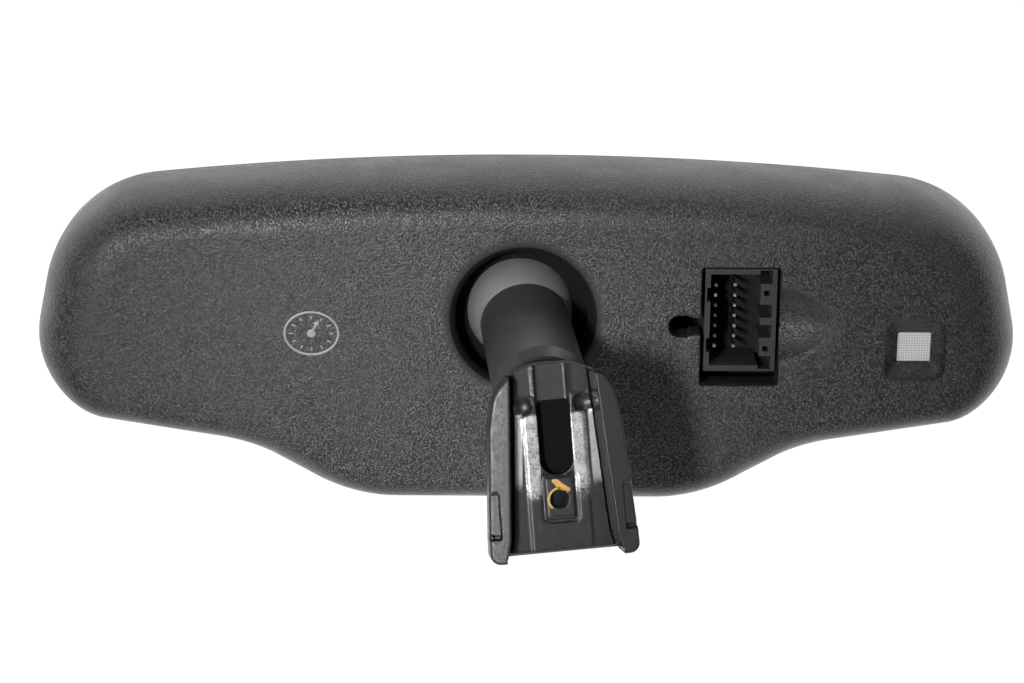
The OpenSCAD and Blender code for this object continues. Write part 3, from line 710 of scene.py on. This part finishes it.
def cutout_outline():
    """The connector window with the keyhole slot opening into its left side."""
    left, right, low, high = CUTOUT
    neck_low, neck_high = -3.9, 0.3
    eye_left, eye_right, eye_low, eye_high = 33.9, 38.9, -4.45, 0.85
    return rounded([
        (left, high, 0.7), (right, high, 0.9), (right, low, 0.9), (left, low, 0.7),
        (left, neck_low, 0.4), (eye_right + 0.5, neck_low, 0.5), (eye_right - 0.7, eye_low, 0.5),
        (eye_left, eye_low, 2.5), (eye_left, eye_high, 2.5),
        (eye_right - 0.7, eye_high, 0.5), (eye_right + 0.5, neck_high, 0.5), (left, neck_high, 0.4),
    ], 0.6)


def roll_rings():
    """The step at the parting line, then the edge that rolls over to the flat back."""
    rings = [(inset(HEAD_OUTLINE, amount), PARTING_Y + rise)
             for amount, rise in ((0.5, 0.3), (0.28, -0.02), (0.06, -0.14))]
    start = PARTING_Y - 0.4
    for k in range(31):
        angle = math.pi / 2 * k / 30
        share = 1 - math.cos(angle) ** 0.8
        y = start + (BACK_Y - PARTING_Y + 0.4) * math.sin(angle) ** 0.8
        rings.append((inset(HEAD_OUTLINE, *(r * share for r in ROLL)), y))
    return rings


def funnel_rings(pocket):
    """The light lens's pocket narrows from its lip to the lens."""
    funnel = rounded(box_corners(*LENS_POCKET_AT, 8.15, 7.35, 0.5), 0.8)
    funnel = [funnel[round(i * len(funnel) / len(pocket)) % len(funnel)] for i in range(len(pocket))]
    slope = []
    for k in range(1, 5):
        t = k / 4
        loop = [(p[0] * (1 - t) + q[0] * t, p[1] * (1 - t) + q[1] * t) for p, q in zip(pocket, funnel)]
        slope.append((loop, BACK_Y + 0.9 + 2.3 * t ** 0.8))
    return slope + [(flat_loop(funnel), -6.5)]


def on_opening_lip(x, _, z):
    """Whether a point of the head lies on the lip or wall of the ball opening."""
    return math.hypot(x - OPENING_AT[0], z - OPENING_AT[2]) < LIP_REACH


def housing():
    """The back shell, with its ball opening, connector window, finger scoop and lens pocket."""
    shape = Shape()
    rings = roll_rings()
    shape.rings(rings)
    opening = circle_points(OPENING_AT[0], OPENING_AT[2], OPENING_RADIUS, 96)
    window = cutout_outline()
    pocket = rounded(box_corners(*LENS_POCKET_AT, 13.8, 14.6, 2.6), 0.8)
    holes = []
    for outline, radius, inner_rings in ((opening, 1.8, [(flat_loop(opening), -8.0)]),
                                         (window, 0.5, [(flat_loop(window), -4.5)]),
                                         (pocket, 0.9, funnel_rings(pocket))):
        lip = lip_rings(outline, radius, back_at)
        shape.rings(lip + inner_rings)
        holes.append(lip[0][0])
    extra = np.vstack([grid_points(-100, 100, -42, 27, 3.0), grid_points(60.9, 76.5, -12, 10, 0.7)])
    keep = inside(extra, inset(HEAD_OUTLINE, *(r + 1.2 for r in ROLL)))
    keep &= outside(extra, [inset(opening, -2.6), inset(pocket, -1.6), inset(window, -0.9)])
    shape.fill(rings[-1][0], holes, extra[keep], back_height)
    # the lip and wall of the ball opening take a near-black that is painted shade
    piece = shape.piece("housing_shell", HEAD, "head", GRAINED, "grained_black_plastic", sharp=50,
                        inner=LIP_SHADE_BLACK, is_inner=on_opening_lip)
    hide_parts("rear_housing")


def bezel():
    """The front ring and chin, with openings for the glass, the buttons and the indicator."""
    shape = Shape()
    # how far in from the outline, and at what y
    profile = [(1.6, 15.6), (0.5, 15.72), (0.34, 15.98), (0.1, 16.16), (0.06, 16.4), (0.72, 18.5),
               (1.3, 20.4), (1.72, 21.6), (2.02, 22.2), (2.42, 22.68), (2.9, 22.94), (3.3, FRONT_Y)]
    rings = [(inset(HEAD_OUTLINE, d), y) for d, y in profile]
    shape.rings(rings)
    glass = [(x - GLASS_INSET * nx, z - GLASS_INSET * nz, nx, nz) for x, z, nx, nz in GLASS_OUTLINE]
    windows = [rounded(box_corners(k * BUTTON_PITCH, BUTTON_Z, 17.6, 8.6, 1.5), 0.7) for k in (-1, 0, 1)]
    lamp = circle_points(33.5, BUTTON_Z, 1.05, 24)
    holes = []
    openings = [(glass, 0.7, 21.55)] + [(w, 0.35, 20.8) for w in windows] + [(lamp, 0.2, 20.8)]
    for outline, radius, floor in openings:
        lip = []
        for loop, heights in lip_rings(outline, radius, lambda x, z: 0.0):
            lip.append((loop, [FRONT_Y - h for h in heights]))
        shape.rings(lip + [(flat_loop(outline), floor)])
        holes.append(lip[0][0])
    shape.fill(rings[-1][0], holes, np.zeros((0, 2)), lambda x, z: np.full(len(x), FRONT_Y))
    piece = shape.piece("bezel_shell", HEAD, "head", BEZEL_PLASTIC, "bezel_plastic", sharp=50)
    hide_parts("front_bezel")


# ---------------------------------------------------------------- die-cast foot

RAIL_H, RAIL_EDGE_R, PLATE_T, EDGE_R = 4.5, 0.45, 3.2, 0.6
SCREW_UP = 8.1
# the neck ends inside the plate; its lowest line meets the seat plane at NECK_LOW_Z and rises from there
NECK_END_Y, NECK_LOW_Z, NECK_SLOPE = 2.2, 9.6, 0.538
SLOT_DEEPEST = 11.8
# the inside of the slot, below its lip, which is coloured as painted shade: half width, then the ranges of y and z
SLOT_HALF, SLOT_Y, SLOT_Z = 3.9, (0.9, 11.9), (13, 30.4)


def channel_half(z):
    """Half width of the channel between the rails' top edges; the legs flare at their tips."""
    flare = np.maximum(0.4 - z, 0)
    return 11.9 - 0.067 * z + 0.16 * flare


def foot_outline():
    """Seen face on: straight flared sides, a round top, two rounded legs past the floor's end."""
    left = [(-12.3, -3.7, 0.3), (-12.9, -4.8, 0.6), (-16.75, -4.8, 2.2), (-16.6, 0.5, 3),
            (-14.95, 24.9, 12), (-13.2, 33.9, 9), (-5.6, 38.75, 12)]
    right = [(-x, z, radius) for x, z, radius in reversed(left)]
    return rounded(left[4:] + right + left[:4], 0.5)


def soft_step(value, start, end):
    """Rises smoothly from 0 at start to 1 at end."""
    t = np.clip((value - start) / (end - start), 0, 1)
    return t * t * (3 - 2 * t)


def foot_floor(x, z):
    """Relief of the channel floor: lands, grooves, pockets, the strip above the slot and the screw boss."""
    ax = np.abs(x)
    half = channel_half(z)
    y = np.zeros_like(x)
    # outside the two middle lands the floor lies a little lower
    below_pocket = 1 - soft_step(z, 27.0, 27.9)
    y += 0.45 * soft_step(ax, 6.65, 6.95) * below_pocket
    # a groove along each wall
    y += 1.3 * soft_step(ax, half - 1.5, half - 1.15)
    # the sunken strip above the slot
    y += 1.25 * (1 - soft_step(ax, 3.2, 4.0)) * soft_step(z, 27.5, 28.5)
    # a round pocket on each side of it
    pocket = 1 - np.clip(((ax - 6.9) / 2.3) ** 2 + ((z - 29.2) / 2.3) ** 2, 0, 1)
    y += 1.5 * pocket ** 0.6
    # a step beyond the pockets
    y += 0.35 * soft_step(z, 31.2, 31.8) * soft_step(ax, 4.1, 4.5)
    # the raised boss round the set screw, with a moat about it
    dx = np.maximum(np.abs(x - 0.1) - 2.9, 0)
    dz = np.maximum(np.abs(z - 8.4) - 4.3, 0)
    away = np.sqrt(dx ** 2 + dz ** 2)
    moat = soft_step(away, 0.0, 0.7) * (1 - soft_step(away, 0.95, 1.5))
    y += 0.5 * moat
    y -= 0.3 * (1 - soft_step(away, 0.0, 0.7))
    # the floor's end dips
    y += 0.25 * (1 - soft_step(z, -3.7, -2.9))
    return y


def foot_rail_top(x, z):
    """Height of the rails' faces, with the relief step near their lower outer edges."""
    ax = np.abs(x)
    step = soft_step(ax, 13.75, 14.0) * soft_step(z, 0.8, 1.0) * (1 - soft_step(z, 10.9, 11.1))
    notch = soft_step(ax, 13.9, 14.1) * soft_step(z, 0.7, 0.9) * (1 - soft_step(z, 1.5, 1.7))
    over = ax - channel_half(z)
    edge = np.clip(RAIL_EDGE_R - over, 0, RAIL_EDGE_R)
    fillet = RAIL_EDGE_R - np.sqrt(np.maximum(RAIL_EDGE_R ** 2 - edge ** 2, 0))
    return -RAIL_H + fillet + 0.17 * np.maximum(over, 0) + 0.9 * step + 0.8 * notch


def foot_height(x, z):
    """The y of the foot's face: its rails, and the channel's floor between them."""
    x = np.asarray(x, float)
    z = np.asarray(z, float)
    return np.where(np.abs(x) >= channel_half(z) - 0.001, foot_rail_top(x, z), foot_floor(x, z))


def foot_edge(outline):
    """The rounded outer edge, from the side up to the face."""
    rings = []
    for k in range(6):
        angle = math.pi / 2 * k / 5
        loop = inset(outline, EDGE_R * (1 - math.cos(angle)))
        drop = EDGE_R * (1 - math.sin(angle))
        ys = foot_height([p[0] for p in loop], [p[1] for p in loop]) + drop
        rings.append((loop, [min(y, PLATE_T - 0.9) for y in ys.tolist()]))
    return rings


def foot_points(outline, slot, hole):
    """A fine grid over the foot's face, with rows of points that follow the channel's walls."""
    grid = grid_points(-16.5, 16.5, -4.5, 38.5, 0.42)
    beside = np.abs(np.abs(grid[:, 0]) - channel_half(grid[:, 1]))
    zs = np.arange(-4.6, 38.4, 0.4)
    rows = [np.column_stack([side * (channel_half(zs) + off), zs]) for side in (-1, 1)
            for off in (0.45, 0.3, 0.15, 0.04, 0.0, -0.03, -0.3, -0.8, -1.15, -1.5)]
    points = np.vstack([grid[beside > 0.6], *rows])
    keep = inside(points, inset(outline, EDGE_R + 0.12))
    keep &= outside(points, [inset(slot, -0.55), inset(hole, -0.4)])
    return points[keep]


def face_height(x, z):
    return float(foot_height(x, z))


def slot_floor(z):
    """The slot's floor stays 1 mm inside the leaning neck behind it, and has a greatest depth."""
    return min(SLOT_DEEPEST, (z - NECK_LOW_Z) / NECK_SLOPE - 1)


def in_foot_slot(x, y, z):
    """Whether a point of the foot lies on the slot's walls or floor."""
    return abs(x) < SLOT_HALF and SLOT_Y[0] < y < SLOT_Y[1] and SLOT_Z[0] < z < SLOT_Z[1]


def foot():
    """The die-cast windshield foot."""
    shape = Shape()
    outline = foot_outline()
    edge = foot_edge(outline)
    back = [(inset(outline, amount), PLATE_T - rise) for amount, rise in ((0.8, 0), (0.25, 0.2), (0, 0.7))]
    shape.cap(shape.ring(*back[0]), len(outline))
    shape.rings(back + edge)
    slot = rounded([(-3.7, 29.8, 0.9), (3.7, 29.8, 0.9), (3.7, 13.5, 3.69), (-3.7, 13.5, 3.69)], 0.45)
    hole = circle_points(0, SCREW_UP, 2.05, 40)
    holes = []
    for loop, radius, floor in ((slot, 0.3, [slot_floor(p[1]) for p in slot]), (hole, 0.22, 5.9)):
        lip = lip_rings(loop, radius, face_height, 4)
        shape.cap(shape.rings(lip + [(flat_loop(loop), floor)]), len(loop))
        holes.append(lip[0][0])
    shape.fill(edge[-1][0], holes, foot_points(outline, slot, hole), foot_height)
    shift_undercut(shape)
    add_foot_neck(shape)
    # the slot's walls and floor take a near-black that is painted shade
    piece = shape.piece("foot_casting", FOOT, "arm", CAST, "cast_zinc", sharp=46,
                        inner=SLOT_SHADE_BLACK, is_inner=in_foot_slot)
    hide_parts("mount_foot")


def shift_undercut(shape):
    """Pushes the foot of each channel wall outwards, under the rail."""
    for i, (x, y, z) in enumerate(shape.points):
        over = abs(x) - float(channel_half(z))
        if -2.5 < over < -0.02 and y > -1 and z > -3.6 and abs(x) < 14:
            push = 1.1 * (1 + over / 2.5) ** 2
            shape.points[i] = (x + math.copysign(push, x), y, z)


def add_foot_neck(shape):
    """The spigot and shoulder towards the tube, and the thick place behind the set screw."""
    to_foot = FOOT.inverted() @ ARM
    way = to_foot.to_3x3() @ Vector((0, -1, 0))
    start = len(shape.points)
    count = 72
    profile = [(-24, 8.15), (-37.9, 8.15), (-38.1, 8.3), (-38.3, 8.9), (-38.7, 9.2), (-45, 9.2)]
    turned(shape, profile, count)
    last = len(shape.points) - count
    for i in range(start, len(shape.points)):
        spot = to_foot @ (Vector(shape.points[i]) * MM) / MM
        if i >= last:
            spot = spot + way * ((NECK_END_Y - spot.y) / way.y)
        shape.points[i] = tuple(spot)
    boss = circle_points(0, SCREW_UP, 4, 40)
    profile = [(-0.7, PLATE_T - 0.1), (-0.2, PLATE_T + 0.25), (0, PLATE_T + 0.8), (0, 5.6), (0.4, 6.0),
               (1.9, 6.0), (1.95, 5.0)]
    shape.rings([(inset(boss, amount), y) for amount, y in profile])


def thread_locker():
    """A smear of yellow thread locker round the upper left of the screw hole."""
    shape = Shape()
    lift = 0.035
    arc = [math.radians(a) for a in range(38, 236, 9)]
    outer = [(2.85 * math.cos(a), SCREW_UP + 2.75 * math.sin(a)) for a in arc]
    inner = [(2.3 * math.cos(a), SCREW_UP + 2.3 * math.sin(a)) for a in reversed(arc)]
    streak = [(1.55, 9.9), (2.35, 9.75), (2.5, 10.4), (0.9, 11.5), (-0.2, 12.6), (-1.4, 12.75), (-1.55, 12.2),
              (-0.9, 11.4), (-0.3, 10.45)]
    for loop in (outer + inner, streak):
        start = shape.ring(loop, 0)
        shape.points[start:] = [(x, float(foot_height(x, z)) - lift, z) for x, _, z in shape.points[start:]]
        shape.cap(start, len(loop))
    paint = Paint("thread_locker", (0.42, 0.24, 0.055), 0.5)
    tone = paint.colors(paint.noise(0.8, 4.0), (0.28, 0.15, 0.03), (0.55, 0.33, 0.09))
    paint.feed("Base Color", tone)
    paint.bump(paint.noise(0.5, 3.0), 0.03, 0.6)
    shape.piece("thread_locker_smear", FOOT, "arm", paint.material, "cast_zinc")


def toward(loop, other, share):
    """A loop part of the way towards another one, point by point."""
    return [(a[0] + (b[0] - a[0]) * share, a[1] + (b[1] - a[1]) * share) for a, b in zip(loop, other)]


def raised_pad(shape, outer, lift):
    """A low raised pad on the flat back."""
    count = len(outer)
    middle = (sum(p[0] for p in outer) / count, sum(p[1] for p in outer) / count)
    small = [(middle[0] + (p[0] - middle[0]) * 0.86, middle[1] + (p[1] - middle[1]) * 0.86) for p in outer]
    last = shape.rings([(outer, BACK_Y + 0.05), (outer, BACK_Y - lift * 0.6), (small, BACK_Y - lift)])
    shape.cap(last, count)


def raised_band(shape, outer, inner, lift):
    """A low raised band on the flat back, between two loops."""
    base, top, edge = BACK_Y + 0.05, BACK_Y - lift, BACK_Y - lift * 0.6
    thin, thick = toward(outer, inner, 0.2), toward(outer, inner, 0.8)
    shape.rings([(outer, base), (outer, edge), (thin, top), (thick, top), (inner, edge), (inner, base)])


def oval(x, z, half_width, half_height, count=72):
    turns = [2 * math.pi * k / count for k in range(count)]
    return [(x + half_width * math.cos(a), z + half_height * math.sin(a)) for a in turns]


def bar(x, z, angle, start, end, width):
    """A narrow four-sided outline that points away from (x, z)."""
    way = Vector((math.cos(angle), math.sin(angle)))
    side = Vector((-way.y, way.x)) * width / 2
    at = Vector((x, z))
    return [tuple(at + way * start - side), tuple(at + way * end - side), tuple(at + way * end + side),
            tuple(at + way * start + side)]


DIAL_AT, DIAL_LIFT = (-51.2, -3.9), 0.12
DIAL_OUTER, DIAL_INNER = (6.65, 5.5), (6.15, 5.0)
EJECTOR_AT, EJECTOR_LIFT = (-88.4, -2.6), 0.06


def mould_dial():
    """A generic mould's date dial without figures: a ring, twelve ticks and a pointer."""
    dial = Shape()
    x, z = DIAL_AT
    raised_band(dial, oval(x, z, *DIAL_OUTER), oval(x, z, *DIAL_INNER), DIAL_LIFT)
    squash = DIAL_INNER[1] / DIAL_INNER[0]
    for k in range(12):
        tick = bar(0, 0, 2 * math.pi * k / 12, 4.3, 5.3, 0.42)
        raised_pad(dial, [(x + px, z + pz * squash) for px, pz in tick], DIAL_LIFT)
    raised_pad(dial, oval(x, z, 1.0, 1.0, 24), DIAL_LIFT)
    points_at = math.radians(62)
    raised_pad(dial, bar(x, z, points_at, 0.9, 2.5, 0.55), DIAL_LIFT)
    tip = bar(x, z, points_at, 2.4, 3.7, 1.7)
    raised_pad(dial, [tip[0], tuple((Vector(tip[1]) + Vector(tip[2])) / 2), tip[3]], DIAL_LIFT)
    # the marks' light grey is painted sheen, standing for the gloss of their smooth faces
    paint = Paint("mould_mark_painted_sheen", (0.11, 0.11, 0.115), 0.45)
    paint.feed("Base Color", paint.colors(paint.noise(0.5, 3.0), (0.13, 0.13, 0.135), (0.24, 0.24, 0.245)))
    paint.bump(paint.noise(0.3, 3.0), 0.02, 0.5)
    dial.piece("mould_dial", HEAD, "head", paint.material, "grained_black_plastic", weld=0.001)


def ejector_ring():
    """Two faint rings such as an ejector leaves."""
    ejector = Shape()
    for outer, inner in (((7.4, 6.6), (6.95, 6.15)), ((4.4, 3.9), (4.0, 3.5))):
        raised_band(ejector, oval(*EJECTOR_AT, *outer), oval(*EJECTOR_AT, *inner), EJECTOR_LIFT)
    ejector.piece("ejector_ring", HEAD, "head", GRAINED, "grained_black_plastic", weld=0.001)


housing()
bezel()
mould_dial()
ejector_ring()
foot()
thread_locker()
soften("connector_header", 0.14)
soften("connector_pins", 0.14)
soften("ambient_light_lens", 0.25, 3)
for button in ("button_left", "button_centre", "button_right"):
    soften(button, 0.35, 3)
soften("front_glass", 0.25)

# ---------------------------------------------------------------- floor, light and camera


FLOOR_HALF_SIDE, FLOOR_DROP = 0.9, 0.95


def floor():
    """A plain white floor well below the mirror."""
    mesh = bpy.data.meshes.new("floor")
    side, level = FLOOR_HALF_SIDE, BALL.z - FLOOR_DROP
    corners = [(-side, -side, level), (side, -side, level), (side, side, level), (-side, side, level)]
    mesh.from_pydata(corners, [], [(0, 1, 2, 3)])
    paint = Paint("floor_white", (0.92, 0.92, 0.92), 0.9)
    paint.set("Emission Color", (1, 1, 1, 1))
    paint.set("Emission Strength", 0.75)
    paint.feed("Base Color", paint.colors(paint.noise(400.0, 2.0), (0.9, 0.9, 0.9), (0.93, 0.93, 0.93)))
    mesh.materials.append(paint.material)
    put_in_scene("floor", mesh)


def aimed_light(light, place, aim):
    """Puts a light at a place and turns it to an aim, both in metres from the ball."""
    thing = put_in_scene(light.name, light)
    thing.location = BALL + Vector(place)
    thing.rotation_mode = "QUATERNION"
    thing.rotation_quaternion = (BALL + Vector(aim) - thing.location).to_track_quat("-Z", "Y")
    return thing


def softbox(name, place, size, power):
    """A rectangular light aimed at the ball, which the camera doesn't see."""
    light = bpy.data.lights.new(name, "AREA")
    light.shape = "RECTANGLE"
    light.size, light.size_y = size
    light.energy = power
    aimed_light(light, place, (0, 0, 0)).visible_camera = False


def spotlight(place, aim, cone, radius, power):
    """A soft-edged spot that brightens the left of centre."""
    light = bpy.data.lights.new("spot", "SPOT")
    light.spot_size = math.radians(cone)
    light.spot_blend = 1.0
    light.shadow_soft_size = radius
    light.energy = power
    aimed_light(light, place, aim)


def surroundings():
    """White all round to the camera; for light, a pale room that is darker on the camera's side."""
    world = bpy.data.worlds.new("studio")
    bpy.context.scene.world = world
    world.use_nodes = True
    nodes, links = world.node_tree.nodes, world.node_tree.links
    nodes.clear()
    out = nodes.new("ShaderNodeOutputWorld")
    mix = nodes.new("ShaderNodeMixShader")
    seen = nodes.new("ShaderNodeBackground")
    seen.inputs["Color"].default_value = (1, 1, 1, 1)
    seen.inputs["Strength"].default_value = 1.05
    room = nodes.new("ShaderNodeBackground")
    path = nodes.new("ShaderNodeLightPath")
    coords = nodes.new("ShaderNodeTexCoord")
    split = nodes.new("ShaderNodeSeparateXYZ")
    links.new(coords.outputs["Generated"], split.inputs[0])
    span = nodes.new("ShaderNodeMapRange")
    span.interpolation_type = "SMOOTHSTEP"
    for name, number in (("From Min", -0.1), ("From Max", 0.65), ("To Min", 0.035), ("To Max", 1.9)):
        span.inputs[name].default_value = number
    links.new(split.outputs["Y"], span.inputs["Value"])
    links.new(span.outputs["Result"], room.inputs["Strength"])
    links.new(path.outputs["Is Camera Ray"], mix.inputs["Fac"])
    links.new(room.outputs[0], mix.inputs[1])
    links.new(seen.outputs[0], mix.inputs[2])
    links.new(mix.outputs[0], out.inputs["Surface"])


def camera():
    """A long lens behind the mirror, a little above it, with a slight roll."""
    elevation, roll = math.radians(17), math.radians(0.31)
    distance, lens = 0.62, 89.66
    aim = HEAD.translation + Vector((-0.00343, 0, -0.00933))
    back = Vector((0, -math.cos(elevation), math.sin(elevation)))
    right = Vector((1, 0, 0))
    up = back.cross(right)
    turned_right = right * math.cos(roll) + up * math.sin(roll)
    turned_up = up * math.cos(roll) - right * math.sin(roll)
    lens_data = bpy.data.cameras.new("camera")
    lens_data.lens = lens
    lens_data.sensor_width = 36
    thing = put_in_scene("camera", lens_data)
    thing.matrix_world = axes_matrix(aim + back * distance, turned_right, turned_up, back)
    bpy.context.scene.camera = thing


floor()
surroundings()
# places in metres from the ball, sizes in metres, powers in watts
softbox("key", (-0.95, -0.85, 0.4), (0.4, 0.4), 5)
softbox("overhead", (0.55, -0.2, 0.85), (0.35, 0.35), 2.5)
softbox("fill", (0.8, -0.9, 0.15), (0.5, 0.7), 2.2)
spotlight((-0.3, -0.75, 0.16), (-0.018, 0, -0.006), 12.5, 0.09, 88)
camera()
bpy.context.scene.view_settings.view_transform = "Standard"
